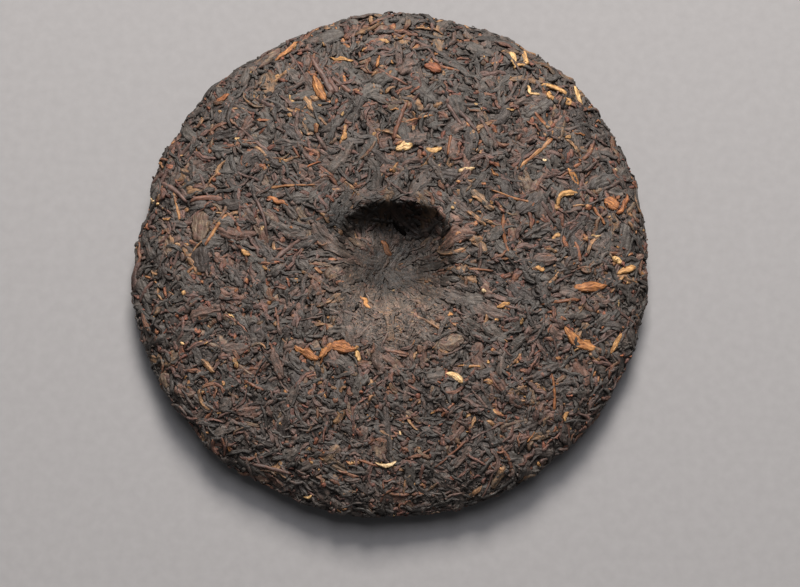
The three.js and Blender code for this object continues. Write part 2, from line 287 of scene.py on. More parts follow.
# Middle and spread of the two places that the cloth has worn smooth. The other values paint shade: darkest
# below the steep wall, dark on the dimple's floor, and in streaks along the folds on the knot's +X side; the
# colour is paler on the worn patch below the dimple. The spots are painted shade, and painted light where the
# darkness is below 0: middle, spread and darkness.
wornAndShaded = {
    "dimple": (0.0, -4.0), "dimpleWide": 13.0,
    "below": (1.0, -24.0), "belowWide": 10.0, "belowSpread": 1.5,
    "strength": (1.25, 1.1),   # how hard each is rubbed, whole from 1 on
    # painted shade on the dimple's floor, below its steep wall and in streaks along the folds
    "floor": (3.0, -3.5), "floorWide": (21.0, 12.5), "floorShade": 0.7, "floorEdge": (0.55, 1.25),
    "wallShare": (0.3, 0.6, 0.95, 1.15), "wallUpward": (0.7, 0.93), "wallShade": 0.72,
    "streaks": (19, 31), "streakStep": (0.2, 1.4), "streakReach": (4.0, 9.0, 24.0, 36.0),
    "streakSide": (-0.3, 0.5), "streakShade": 0.42,
    "belowPale": 0.32,
    # spots of painted shade, and of painted light where the darkness is below 0
    "shadeAndLightSpots": [
        (-8, -9, 5.0, 0.32), (-19, 13.5, 4.4, 0.85), (-21.5, 0.5, 4.0, -0.35), (-9, 6.5, 4.0, -0.3),
        (22.5, 9.5, 5.0, -0.2), (18.5, 14.5, 3.0, -0.5), (-5, 21, 6.0, 0.28), (7, 6.5, 5.5, 0.45),
        (-22, 10.5, 2.8, 0.5), (-20, 25, 6.5, 0.18), (-6, 27, 5.0, 0.1), (10, 25, 7.0, 0.15),
        (-26, 5, 5.0, 0.22),
    ],
}


# How strongly the skin is pressed smooth: in the dimple and on the worn patch just below it.
def polish(x, y):
    inDimple = bell(np.hypot(x - wornAndShaded["dimple"][0], y - wornAndShaded["dimple"][1]), wornAndShaded["dimpleWide"])
    dx = (x - wornAndShaded["below"][0]) / wornAndShaded["belowSpread"]
    below = bell(np.hypot(dx, y - wornAndShaded["below"][1]), wornAndShaded["belowWide"])
    return np.clip(wornAndShaded["strength"][0] * inDimple + wornAndShaded["strength"][1] * below, 0, 1)


# Painted shade on the dimple's floor inside an oval, more below the wall on the +Y side, and in streaks along
# the folds where two waves round the knot add up; paler on the worn patch below the dimple; and the spots of
# painted shade and light over all.
def knotShade(x, y, up):
    share, upward = mouthPlace(x, y)
    wall = within(share, *wornAndShaded["wallShare"]) * smooth(upward, *wornAndShaded["wallUpward"])
    dx, dy = (x - wornAndShaded["floor"][0]) / wornAndShaded["floorWide"][0], (y - wornAndShaded["floor"][1]) / wornAndShaded["floorWide"][1]
    floor = 1 - smooth(np.hypot(dx, dy), *wornAndShaded["floorEdge"])
    fromPatch = np.hypot((x - wornAndShaded["below"][0]) / wornAndShaded["belowSpread"], y - wornAndShaded["below"][1])
    pale = bell(fromPatch, wornAndShaded["belowWide"]) * (1 - floor)
    shade = (1 - wornAndShaded["floorShade"] * floor) * (1 - wornAndShaded["wallShade"] * wall) * (1 + wornAndShaded["belowPale"] * pale)
    reach, azimuth = fromKnot(x, y)
    waves = sum(np.sin(count * azimuth + count) for count in wornAndShaded["streaks"])
    streak = smooth(waves, *wornAndShaded["streakStep"]) * within(reach, *wornAndShaded["streakReach"])
    shade = shade * (1 - wornAndShaded["streakShade"] * streak * smooth(np.cos(azimuth), *wornAndShaded["streakSide"]))
    for atX, atY, wide, dark in wornAndShaded["shadeAndLightSpots"]:
        shade = shade * (1 - dark * bell(np.hypot(x - atX, y - atY), wide))
    return np.where(up > 0, shade, 1)


# sRGB hex to linear, with full alpha.
def linear(hexColour):
    values = np.array([int(hexColour[i:i + 2], 16) for i in (1, 3, 5)]) / 255
    return (*np.where(values <= 0.04045, values / 12.92, ((values + 0.055) / 1.055) ** 2.4), 1.0)


# Adds a shader node of a kind, sets its settings, and gives each input a value or the (node, output) that
# feeds it. A ramp's setting "stops" is a list of places and colours.
def addNode(tree, kind, settings=None, inputs=None):
    node = tree.nodes.new("ShaderNode" + kind)
    for key, value in (settings or {}).items():
        if key == "stops":
            elements = node.color_ramp.elements
            while len(elements) < len(value):
                elements.new(0.5)      # moved to its own place below
            for element, (position, colour) in zip(elements, value):
                element.position = position
                element.color = linear(colour)
        else:
            setattr(node, key, value)
    for key, value in (inputs or {}).items():
        if isinstance(value, tuple) and isinstance(value[0], bpy.types.Node):
            tree.links.new(value[0].outputs[value[1]], node.inputs[key])
        else:
            node.inputs[key].default_value = value
    return node


# An empty node material.
def newMaterial(name):
    material = bpy.data.materials.new(name)
    material.use_nodes = True
    material.node_tree.nodes.clear()
    return material, material.node_tree


# Nearly all of a noise texture's values lie between these.
noiseLow, noiseHigh = 0.3, 0.7
waveScale = np.pi / 10       # the scale at which a wave texture's bands lie one unit apart
mixFactor, mixA, mixB, mixResult = 0, 6, 7, 2     # a Mix node's sockets for colours

# How fine each noise and wave is below its own size.
fineness = {
    "blotch": {"Detail": 5.0, "Roughness": 0.68, "Distortion": 0.8},
    "speck": {"Detail": 3.0, "Roughness": 0.6},
    "wrinkle": {"Detail": 3.0, "Roughness": 0.6},
    "patch": {"Detail": 2.0},
    "grain": {"Detail": 2.0, "Roughness": 0.7},
    "crease": {"Detail": 2.0, "Detail Scale": 1.4},
    "dust": {"Detail": 4.0, "Roughness": 0.65},
    "layer": {"Detail": 3.0, "Detail Scale": 1.8},
    "knotStreak": {"Detail": 4.0},
    "paper": {"Detail": 3.0},
}

# Where the cloth has rubbed the tea, its dust fills the leaf and blurs one piece into the next: a soft mottle
# of grey, brown and tan that runs over all of them, with hardly any edges for the eye to hold on to.
rubbed = {
    "blotch": 2.0, "speck": 0.6,     # mm
    "speckShare": 0.4, "share": 0.62,      # of specks in the mottle, and of the mottle on a rubbed leaf
    "tones": [(0.37, "#1e1a18"), (0.43, "#3d3530"), (0.48, "#55504c"), (0.52, "#6e5843"),
              (0.55, "#565251"), (0.59, "#6c4a40"), (0.64, "#937a58")],
}


# Blotches and specks mixed, and run along the tones.
def rubbedTea(tree, place):
    blotch, speck = (
        addNode(tree, "TexNoise", {}, {
            "Vector": (place, "Object"), "Scale": 1 / (rubbed[name] * mm), **fineness[name]})
        for name in ("blotch", "speck")
    )
    mottle = addNode(tree, "Mix", {"data_type": "FLOAT"}, {
        "Factor": rubbed["speckShare"], "A": (blotch, "Fac"), "B": (speck, "Fac")})
    return addNode(tree, "ValToRGB", {"stops": rubbed["tones"]}, {"Fac": (mottle, "Result")})


# Leaf, stalk and tip materials share one build. The colour runs along the ramp by each piece's own tone, with
# fibre streaks along its length and a slow change over the cake, times painted shade in the creases with a
# little painted light on the ridges, and times the shade attribute: the piece's own brightness times painted
# shade at its edges and in and round the dimple. The relief is lengthwise wrinkles on the piece's own map,
# whose units are mm along and across it.
def teaMaterial(look):
    material, tree = newMaterial(look["name"])
    tone, shade, pressed = (
        addNode(tree, "Attribute", {"attribute_name": name})
        for name in ("tone", "shade", "pressed")
    )
    leafMap = addNode(tree, "UVMap", {"uv_map": "leafMap"})
    place = addNode(tree, "TexCoord")
    wrinkleScale = (1 / look["wrinkleLong"], 1 / look["wrinkleWide"], 1.0)
    stretched = addNode(tree, "Mapping", {}, {"Vector": (leafMap, "UV"), "Scale": wrinkleScale})
    wrinkle, patch, grain = (
        addNode(tree, "TexNoise", {}, {"Vector": where, "Scale": scale, **fineness[name]})
        for name, where, scale in (
            ("wrinkle", (stretched, "Vector"), 1.0),
            ("patch", (place, "Object"), 1 / (look["patchSize"] * mm)),
            ("grain", (place, "Object"), 1 / (look["grainSize"] * mm)),
        )
    )
    crease = addNode(tree, "TexWave", {"wave_type": "BANDS", "bands_direction": "Y"}, {
        "Vector": (leafMap, "UV"), "Scale": waveScale / look["creaseSpacing"],
        "Distortion": look["creaseBend"], **fineness["crease"]})
    rampPlace = (tone, "Fac")
    for pattern, share in ((wrinkle, "streak"), (patch, "hueDrift")):
        moved = addNode(tree, "Math", {"operation": "MULTIPLY_ADD"}, {
            0: (pattern, "Fac"), 1: look[share], 2: rampPlace})
        rampPlace = (moved, "Value")
    centred = addNode(tree, "Math", {"operation": "SUBTRACT", "use_clamp": True}, {
        0: rampPlace, 1: (look["streak"] + look["hueDrift"]) / 2})
    ramp = addNode(tree, "ValToRGB", {"stops": look["tones"]}, {"Fac": (centred, "Value")})
    light = (shade, "Fac")
    for pattern, patternLow, patternHigh, darkest, brightest in (
        (patch, noiseLow, noiseHigh, 1 - look["patchChange"], 1 + look["patchChange"]),
        (wrinkle, noiseLow, noiseHigh, 1 - look["wrinkleChange"], 1 + look["wrinkleChange"]),
        (grain, noiseLow, noiseHigh, 1 - look["grainChange"], 1 + look["grainChange"]),
        # painted shade in the creases, a little painted light on the ridges between
        (crease, 0.0, look["creaseWide"], 1 - look["creaseShade"], look["ridgeLight"]),
    ):
        swing = addNode(tree, "MapRange", {}, {
            "Value": (pattern, "Fac"), "From Min": patternLow, "From Max": patternHigh,
            "To Min": darkest, "To Max": brightest})
        product = addNode(tree, "Math", {"operation": "MULTIPLY"}, {0: light, 1: (swing, "Result")})
        light = (product, "Value")
    dusted = addNode(tree, "Math", {"operation": "MULTIPLY"}, {
        0: (pressed, "Fac"), 1: rubbed["share"]})
    leafColour = addNode(tree, "Mix", {"data_type": "RGBA"}, {
        mixFactor: (dusted, "Value"), mixA: (ramp, "Color"), mixB: (rubbedTea(tree, place), "Color")})
    colour = addNode(tree, "VectorMath", {"operation": "SCALE"}, {
        0: (leafColour, mixResult), "Scale": light})
    relief = (wrinkle, "Fac")
    for pattern, share in ((crease, "creaseRelief"), (grain, "grainRelief")):
        raised = addNode(tree, "Math", {"operation": "MULTIPLY_ADD"}, {
            0: (pattern, "Fac"), 1: look[share], 2: relief})
        relief = (raised, "Value")
    bump = addNode(tree, "Bump", {}, {
        "Strength": look["bump"], "Distance": look["wrinkleDepth"] * mm, "Height": relief})
    rough = addNode(tree, "MapRange", {}, {
        "Value": (grain, "Fac"), "From Min": noiseLow, "From Max": noiseHigh,
        "To Min": look["roughness"][0], "To Max": look["roughness"][1]})
    shader = addNode(tree, "BsdfPrincipled", {}, {
        "Base Color": (colour, "Vector"), "Roughness": (rough, "Result"), "Normal": (bump, "Normal"),
        "IOR": look["ior"], "Specular IOR Level": look["specular"]})
    addNode(tree, "OutputMaterial", {}, {"Surface": (shader, "BSDF")})
    return material


# Puts whole arrays of points, triangles, map places and point values into a mesh, in metres.
def meshPiece(name, points, triangles, material, leafMap, values):
    mesh = bpy.data.meshes.new(name)
    mesh.vertices.add(len(points))
    mesh.vertices.foreach_set("co", ((points + np.array(cake["shift"])) * mm).astype(np.float32).ravel())
    mesh.loops.add(triangles.size)
    mesh.loops.foreach_set("vertex_index", triangles.astype(np.int32).ravel())
    mesh.polygons.add(len(triangles))
    mesh.polygons.foreach_set("loop_start", np.arange(0, triangles.size, 3, dtype=np.int32))
    mesh.polygons.foreach_set("use_smooth", np.ones(len(triangles), bool))
    mesh.update(calc_edges=True)
    layer = mesh.uv_layers.new(name="leafMap")
    layer.data.foreach_set("uv", leafMap[triangles.ravel()].astype(np.float32).ravel())
    for key, value in values.items():
        mesh.attributes.new(key, "FLOAT", "POINT").data.foreach_set("value", value.astype(np.float32).ravel())
    mesh.materials.append(material)
    piece = bpy.data.objects.new(name, mesh)
    bpy.context.scene.collection.objects.link(piece)
    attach(piece, "root")
    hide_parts("tea_cake")
    print(name, len(triangles), "triangles")


# Triangles of one closed piece whose points go ring by ring, with the two ends' points last: two between each
# pair of neighbours on one ring and the two below them, all the way round, and a fan at each end.
def ringTriangles(rings, around):
    index = np.arange(rings * around).reshape(rings, around)
    a, b = index[:-1], index[1:]
    aNext, bNext = np.roll(a, -1, axis=1), np.roll(b, -1, axis=1)
    upper = np.stack([a, b, bNext], axis=-1).reshape(-1, 3)
    lower = np.stack([a, bNext, aNext], axis=-1).reshape(-1, 3)
    first, last = index[0], index[-1]
    start = np.stack([np.full(around, rings * around), first, np.roll(first, -1)], -1)
    end = np.stack([last, np.full(around, rings * around + 1), np.roll(last, -1)], -1)
    return np.concatenate([upper, lower, start, end])


# The pressed mass that the loose surface leaves are bedded in, seen in the crevices between them.
core = {
    "rows": 150, "columns": 230,
    "sink": 0.85, "rubbedSink": 0.3,   # depth below the skin, and where the cloth has rubbed
    "rubbedFrom": (0.1, 0.8),
    "crumb": 0.2, "rubbedCrumb": 0.7,  # unevenness, and the share of it that is rubbed away
    "streakRadius": 14.0,      # the painted shade streaks round the knot are as wide as they are at this distance
}


# The skin sunk inwards, on a grid of way and azimuth with one point at each pole and a crumbly draw.
def corePiece():
    ways = np.linspace(0, section["way"][-1], core["rows"] + 2)[1:-1]
    azimuths = np.arange(core["columns"]) * 2 * np.pi / core["columns"]
    way, azimuth = np.meshgrid(ways, azimuths, indexing="ij")
    skin, out = skinUnder(lensPoint(way, azimuth))
    pressed = polish(skin[..., 0], skin[..., 1]) * (out[..., 2] > 0)
    crumbs = draw.uniform(-core["crumb"], core["crumb"], way.shape) * (1 - core["rubbedCrumb"] * pressed)
    sink = core["sink"] + (core["rubbedSink"] - core["sink"]) * smooth(pressed, *core["rubbedFrom"])
    grid = skin + out * (crumbs - sink)[..., None]
    points = np.concatenate([grid.reshape(-1, 3), [grid[0].mean(axis=0), grid[-1].mean(axis=0)]])
    reach, azimuth = fromKnot(points[:, 0], points[:, 1])
    knotMap = np.stack([reach, core["streakRadius"] * azimuth], -1)
    # Painted shade in and round the dimple, carried by the shade attribute.
    shade = knotShade(skin[..., 0], skin[..., 1], out[..., 2])
    values = {
        "pressed": np.append(pressed.ravel(), [1, 0]),
        "shade": np.append(shade.ravel(), [shade[0, 0], 1]),
    }
    triangles = ringTriangles(*way.shape)
    meshPiece("pressed_core", pressedOnTable(points), triangles, crumbMaterial(), knotMap, values)


# Compressed tea dust and broken leaf between the surface leaves: nearly black, the dust's own dark colour
# deepened as painted shade of the crevices, dull and crumbly, in thin swirled layers with painted shade in
# the gaps between them, that look like more leaf below. Where the cloth has rubbed it, it takes the rubbed
# tea's mottle, with painted shade in streaks that run out from the knot along the folds.
dust = {
    "tones": [(0.35, "#241d19"), (0.52, "#3a3430"), (0.7, "#544339")],
    "grain": 0.9, "depth": 0.35, "roughness": 0.75, "ior": 1.45,
    "streakScale": (0.22, 1.3, 1.0), "streakFrom": (0.35, 0.65), "streakShade": 0.3,
    "layerSpacing": 1.5, "layerBend": 9.0, "layerWide": 0.7, "layerShade": 0.5, "layerLight": 1.1,
    "layerRelief": 0.9,
}


# The tones by the grain, times painted shade in the gaps between the layers, mixed with the rubbed tea where
# the cloth has pressed, which is darkened by painted shade in the fold streaks and by the shade attribute.
def crumbMaterial():
    material, tree = newMaterial("compressed tea dust")
    place = addNode(tree, "TexCoord")
    grain = addNode(tree, "TexNoise", {}, {
        "Vector": (place, "Object"), "Scale": 1 / (dust["grain"] * mm), **fineness["dust"]})
    layers = addNode(tree, "TexWave", {"wave_type": "BANDS", "bands_direction": "DIAGONAL"}, {
        "Vector": (place, "Object"), "Scale": waveScale / (dust["layerSpacing"] * mm),
        "Distortion": dust["layerBend"], **fineness["layer"]})
    layerLight = addNode(tree, "MapRange", {}, {
        "Value": (layers, "Fac"), "From Min": 0.0, "From Max": dust["layerWide"],
        "To Min": 1 - dust["layerShade"], "To Max": dust["layerLight"]})
    dustTones = addNode(tree, "ValToRGB", {"stops": dust["tones"]}, {"Fac": (grain, "Fac")})
    layered = addNode(tree, "VectorMath", {"operation": "SCALE"}, {
        0: (dustTones, "Color"), "Scale": (layerLight, "Result")})
    knotMap = addNode(tree, "UVMap", {"uv_map": "leafMap"})
    stretched = addNode(tree, "Mapping", {}, {
        "Vector": (knotMap, "UV"), "Scale": dust["streakScale"]})
    streak = addNode(tree, "TexNoise", {}, {
        "Vector": (stretched, "Vector"), "Scale": 1.0, **fineness["knotStreak"]})
    streaked = addNode(tree, "MapRange", {}, {
        "Value": (streak, "Fac"), "From Min": dust["streakFrom"][0], "From Max": dust["streakFrom"][1],
        "To Min": 1 - dust["streakShade"], "To Max": 1.0})
    shade, pressed = (
        addNode(tree, "Attribute", {"attribute_name": name}) for name in ("shade", "pressed")
    )
    light = addNode(tree, "Math", {"operation": "MULTIPLY"}, {
        0: (streaked, "Result"), 1: (shade, "Fac")})
    smoothTea = addNode(tree, "VectorMath", {"operation": "SCALE"}, {
        0: (rubbedTea(tree, place), "Color"), "Scale": (light, "Value")})
    colour = addNode(tree, "Mix", {"data_type": "RGBA"}, {
        mixFactor: (pressed, "Fac"), mixA: (layered, "Vector"), mixB: (smoothTea, "Vector")})
    relief = addNode(tree, "Math", {"operation": "MULTIPLY_ADD"}, {
        0: (layers, "Fac"), 1: dust["layerRelief"], 2: (grain, "Fac")})
    bump = addNode(tree, "Bump", {}, {"Distance": dust["depth"] * mm, "Height": (relief, "Value")})
    shader = addNode(tree, "BsdfPrincipled", {}, {
        "Base Color": (colour, mixResult), "Normal": (bump, "Normal"), "Roughness": dust["roughness"],
        "IOR": dust["ior"]})
    addNode(tree, "OutputMaterial", {}, {"Surface": (shader, "BSDF")})
    return material


# The spots' play, the least radius that their sideways play is counted at, and how far they keep from the
# middle of either face. The rim lies between a radius on the shown face and one on the underside. In mm.
spots = {"play": 1.5, "leastRadius": 4.5, "poleGap": 0.5, "rimShown": 91.0, "rimUnder": 90.0}


# Evenly spread spots between two shares of the skin, each a golden angle on from the last, with some play.
def spotsOn(count, low, high):
    share = low + (high - low) * (np.arange(count) + 0.5) / count
    way = np.interp(share, section["share"], section["way"]) + draw.normal(0, spots["play"], count)
    way = np.clip(way, spots["poleGap"], section["way"][-1] - spots["poleGap"])
    sideways = draw.normal(0, spots["play"], count) / np.maximum(along("r", way), spots["leastRadius"])
    return way, np.arange(count) * goldenAngle + sideways


# Shares of the skin that lie before the rim, and before its end underneath.
def rimShares():
    widest = np.argmax(section["r"])
    shown = np.interp(spots["rimShown"], section["r"][:widest], section["share"][:widest])
    under = np.interp(-spots["rimUnder"], -section["r"][widest:], section["share"][widest:])
    return shown, under


# Slow drift of the leaves over the cake: wavelengths in mm over 2 pi, bends and swings in radians. The pull
# towards the knot is whole inside one distance and gone outside another, which lies further out on the
# +X side.
drift = {
    "wave": (19.0, 15.0), "bend": (1.7, 1.3), "bendWave": (27.0, 23.0), "start": (0.0, 0.6),
    "swing": (2.4, 1.9),
    "pullFull": 12.0, "pullNone": 46.0, "pullFurther": 22.0, "pullSpread": 0.2,
    "lowerLess": 0.7, "lowerFrom": (0.3, 0.8),     # less pull on the -Y side
    "lipShare": (0.6, 1.35), "lipUpward": 0.72, "lipSpread": 0.5, "lipPull": 0.1,
}


# Headings seen from above: most follow the drift, sines of bent waves, with a wide spread. Near the knot more
# and more of them point at it, and along the steep lip they lie along it. Half of them are turned round.
def headings(x, y, spread):
    reach, radial = fromKnot(x, y)
    bendX = drift["bend"][0] * np.sin(y / drift["bendWave"][0] + drift["start"][1])
    bendY = drift["bend"][1] * np.sin(x / drift["bendWave"][1] + drift["start"][0])
    windX = np.sin(x / drift["wave"][0] + bendX)
    windY = np.sin(y / drift["wave"][1] - bendY)
    free = drift["swing"][0] * windX + drift["swing"][1] * windY + draw.normal(0, spread, x.shape)
    share, upward = mouthPlace(x, y)
    onLip = (share > drift["lipShare"][0]) & (share < drift["lipShare"][1]) & (upward > drift["lipUpward"])
    free = np.where(onLip, radial + np.pi / 2 + draw.normal(0, drift["lipSpread"], x.shape), free)
    furthest = drift["pullNone"] + drift["pullFurther"] * np.maximum(0, np.cos(radial))
    pull = 1 - smooth(reach, drift["pullFull"], furthest)
    pull = pull * (1 - drift["lowerLess"] * smooth(-np.sin(radial), *drift["lowerFrom"]))
    pulled = draw.random(x.shape) < pull * np.where(onLip, drift["lipPull"], 1)
    free = np.where(pulled, radial + draw.normal(0, drift["pullSpread"], x.shape), free)
    return free + np.pi * (draw.random(x.shape) < 0.5)


# Leaf is finest on the lower part of the shown face and coarsest at its upper edge and underneath.
leafSize = {"largest": 1.05, "smallest": 0.86, "from": 35.0, "to": -60.0, "upward": (-0.6, 0.2)}


# Size goes from the largest to the smallest as y falls, where the skin faces up.
def sizeAt(y, up):
    share = smooth(-y, -leafSize["from"], -leafSize["to"]) * smooth(up, *leafSize["upward"])
    return leafSize["largest"] + (leafSize["smallest"] - leafSize["largest"]) * share


# How far most pieces' tones lie from the kind's middle colour, and where the rare palest ones lie.
toneSpread = {"middle": 0.39, "spread": 0.18, "rare": (0.72, 1.0)}


# Draws each piece's own size, bend and place from the kind's ranges.
def drawnPieces(kind, way, azimuth, onRim=False):
    count = way.size
    base = lensPoint(way, azimuth)
    if onRim:
        heading = draw.normal(0, kind["rimSpread"], count) + azimuth + np.pi / 2
    else:
        heading = headings(base[:, 0], base[:, 1], kind["spread"])
    shortest, longest = kind["length"]
    lengths = shortest + (longest - shortest) * draw.random(count) ** kind["lengthBias"]
    scale = sizeAt(base[:, 1], along("up", way))
    rareTone = draw.uniform(*toneSpread["rare"], count)
    return {
        "way": way,
        "azimuth": azimuth,
        "heading": heading,
        "length": lengths * scale,
        "width": draw.uniform(*kind["width"], count) * scale,
        "turn": draw.normal(0, kind["turn"], count),
        "rank": draw.random(count),
        "tone": np.where(
            draw.random(count) < kind["rare"],
            rareTone,
            draw.normal(toneSpread["middle"], toneSpread["spread"], count),
        ),
        "bright": draw.uniform(*kind["bright"], count),
        "ownColour": np.full(count, kind["ownColour"]),
    }


# Batches end to end.
def joined(*batches):
    return {key: np.concatenate([batch[key] for batch in batches]) for key in batches[0]}


# Walks over the lens from each start: turn, step ahead, drop back on to the lens.
def walk(start, way, bends, stride):
    places, ways = [start], [way]
    for bend in bends:
        normal = lensNormal(*lensPlace(places[-1]))
        turned = np.cos(bend)[:, None] * ways[-1] + np.sin(bend)[:, None] * np.cross(normal, ways[-1])
        place = lensPlace(places[-1] + turned * stride[:, None])
        normal = lensNormal(*place)
        places.append(lensPoint(*place))
        ways.append(unit(turned - normal * np.sum(turned * normal, axis=1, keepdims=True)))
    return places, ways


# Middle lines, walked both ways from each piece's middle. The heading is turn * t / 2 plus a slow wriggle,
# with t from -1 to 1 along the piece.
def middleLines(batch, t, wriggle):
    start = lensPoint(batch["way"], batch["azimuth"])
    normal = lensNormal(batch["way"], batch["azimuth"])
    side = np.stack([-np.sin(batch["azimuth"]), np.cos(batch["azimuth"]), np.zeros(start.shape[0])], -1)
    angle = batch["heading"] - batch["azimuth"] - np.pi / 2
    way = unit(np.cos(angle)[:, None] * side + np.sin(angle)[:, None] * np.cross(normal, side))
    phase = draw.uniform(0, 2 * np.pi, start.shape[0])
    swing = draw.normal(0, wriggle, start.shape[0])
    wave = np.sin(phase[:, None] + press["wriggleWaves"] * np.pi * t)
    course = batch["turn"][:, None] * t / 2 + swing[:, None] * wave
    bends = np.diff(course, axis=1).T
    half = len(t) // 2
    stride = batch["length"] / (len(t) - 1)
    ahead, aheadWays = walk(start, way, bends[half:], stride)
    back, backWays = walk(start, -way, -bends[:half][::-1], stride)
    line = np.stack(back[:0:-1] + ahead, axis=1)
    ways = np.stack([-w for w in backWays[:0:-1]] + aheadWays, axis=1)
    return line, ways


# How much pieces of one kind differ, and what the cloth's rubbing has taken from them.
press = {
    "skew": 0.3,               # one end wider than the other
    "wriggleWaves": 1.6,       # half waves of the wriggle from the middle to a tip
    "thickPlay": (0.7, 1.3),
    "ripplePlay": (0.2, 1.3), "rippleTurn": 0.7, "rippleUneven": 0.16, "rippleStep": 4,
    "furrowAt": 0.5, "furrowTurn": 0.35, "furrowWide": 0.33,
    "rubbedLevel": -0.15, "rubbedLevelShare": 0.7, "rubbedThin": 0.45, "rubbedRelief": 0.7,
    "rubbedFall": 0.5,
    "underFrom": (0.5, 0.95), "underSink": 0.1,    # nothing stands out of the underside
    "tipDepth": 0.6,           # where the tip lies between the piece's level and its lower side
    "lowerSideShade": 1.3,          # painted shade on the lower side: how dark it is, with the upper side's edge as 1
    "mapPlay": 900.0,          # mm that one piece's pattern may lie from the next one's
}


# Relief of each piece's upper side: ripples that run along it, sin of a bent v, less a furrow, a bell across
# it, and a crumpled draw.
def pieceRelief(kind, batch, t, v, thick):
    count = thick.shape[0]
    oneEach = (count, 1, 1)
    phase = draw.uniform(0, 2 * np.pi, oneEach)
    phase = phase + draw.normal(0, press["rippleTurn"], oneEach) * t[:, None]
    step = draw.uniform(0, 2 * np.pi, oneEach) + press["rippleStep"] * v
    unevenV = v + press["rippleUneven"] * np.sin(step)
    ripple = np.sin(phase + unevenV * batch["width"][:, None, None] * np.pi / kind["rippleWave"])
    ripple = ripple * draw.uniform(*press["ripplePlay"], oneEach)
    furrowAt = draw.uniform(-press["furrowAt"], press["furrowAt"], oneEach)
    furrowAt = furrowAt + draw.normal(0, press["furrowTurn"], oneEach) * t[:, None]
    furrow = draw.uniform(*kind["furrow"], oneEach) * bell(v - furrowAt, press["furrowWide"])
    crumple = draw.normal(0, kind["crumple"], (count, t.size, v.size))
    return kind["ripple"] * ripple - furrow * thick[..., None] + crumple


# The piece's own map, whose units are mm along and across it, moved to a place of its own.
def pieceMap(batch, t, v, half):
    count = half.shape[0]
    u = batch["length"][:, None] * t / 2 + draw.uniform(0, press["mapPlay"], (count, 1))
    w = half[:, :, None] * np.append(v, 0) + draw.uniform(0, press["mapPlay"], (count, 1, 1))
    ringMap = np.stack([np.broadcast_to(u[:, 1:-1, None], w[:, 1:-1].shape), w[:, 1:-1]], -1)
    tipMap = np.stack([u[:, [0, -1]], w[:, [0, -1], v.size // 2]], -1)
    return np.concatenate([ringMap.reshape(count, -1, 2), tipMap], axis=1)


# One mesh for a kind of piece. Each piece is a grid: t runs along its middle line and v across its upper
# side, with one row of points below. Its height over the skin is its own level, less a fall at the edges
# (|v| to a power) and at the tips (|t| to a power), with its relief.
def pressedPieces(name, kind, batch, material):
    t = np.linspace(-1, 1, kind["stations"])
    v = np.array(kind["across"])
    count = batch["way"].size
    line, ways = middleLines(batch, t, kind["wriggle"])
    normal = lensNormal(*lensPlace(line))
    across = np.cross(normal, ways)
    skew = draw.uniform(-press["skew"], press["skew"], (count, 1))
    taper = (1 - np.abs(t) ** kind["taper"][0]) ** kind["taper"][1]
    pinch = 1 + kind["pinch"] * draw.uniform(-1, 1, (count, t.size))
    half = batch["width"][:, None] / 2 * taper * pinch * (1 + skew * t)
    torn = draw.normal(0, kind["torn"], (count, t.size, v.size)) * taper[:, None]
    places = line[:, :, None] + across[:, :, None] * (half[:, :, None] * v + torn)[..., None]
    upper, upperOut = skinUnder(places)
    lower, lowerOut = skinUnder(line)
    rubbing = polish(line[:, :, 0], line[:, :, 1]) * (normal[:, :, 2] > 0)
    low, high = kind["level"]
    level = low + (high - low) * batch["rank"][:, None]
    level = level + (press["rubbedLevel"] - level) * press["rubbedLevelShare"] * rubbing
    level = level - (high + press["underSink"]) * smooth(-normal[:, :, 2], *press["underFrom"])
    level = level - kind["tipFall"] * np.abs(t) ** kind["tipPower"]
    thick = batch["width"][:, None] * kind["thick"] * draw.uniform(*press["thickPlay"], (count, 1))
    thick = np.clip(thick, *kind["thickRange"]) * (1 - press["rubbedThin"] * rubbing)
    relief = pieceRelief(kind, batch, t, v, thick) * taper[:, None]
    relief = relief * (1 - press["rubbedRelief"] * rubbing[..., None])
    edgeFall = kind["edgeFall"] * np.abs(v) ** kind["edgePower"]
    fall = thick[..., None] * edgeFall * (1 - press["rubbedFall"] * rubbing[..., None])
    top = upper + upperOut * (level[..., None] + relief - fall)[..., None]
    bottom = lower + lowerOut * (level - thick)[..., None]
    rings = np.concatenate([top, bottom[:, :, None]], axis=2)[:, 1:-1]
    tips = (lower + lowerOut * (level - press["tipDepth"] * thick)[..., None])[:, [0, -1]]
    points = pressedOnTable(np.concatenate([rings.reshape(count, -1, 3), tips], axis=1))
    leafMap = pieceMap(batch, t, v, half)
    # Painted shade: darker towards each piece's edges, on its lower side and at its tips, and in and round
    # the dimple.
    edge = 1 - kind["edgeShade"] * np.append(np.abs(v), press["lowerSideShade"]) ** 2
    bright = batch["bright"][:, None] * knotShade(line[:, :, 0], line[:, :, 1], normal[:, :, 2])
    ringShade = (bright[:, 1:-1, None] * edge).reshape(count, -1)
    tipShade = bright[:, [0, -1]] * (1 - kind["edgeShade"])
    shade = np.concatenate([ringShade, tipShade], axis=1)
    pressed = np.concatenate([np.repeat(rubbing[:, 1:-1], v.size + 1, axis=1), rubbing[:, [0, -1]]], axis=1)
    values = {
        "tone": np.broadcast_to(batch["tone"][:, None], shade.shape),
        "shade": shade,
        "pressed": pressed * (batch["ownColour"] < 1)[:, None],
    }
    triangles = ringTriangles(t.size - 2, v.size + 1)
    firstPoints = np.arange(count) * points.shape[1]
    allTriangles = (triangles[None] + firstPoints[:, None, None]).reshape(-1, 3)
    meshPiece(name, points.reshape(-1, 3), allTriangles, material, leafMap.reshape(-1, 2), values)


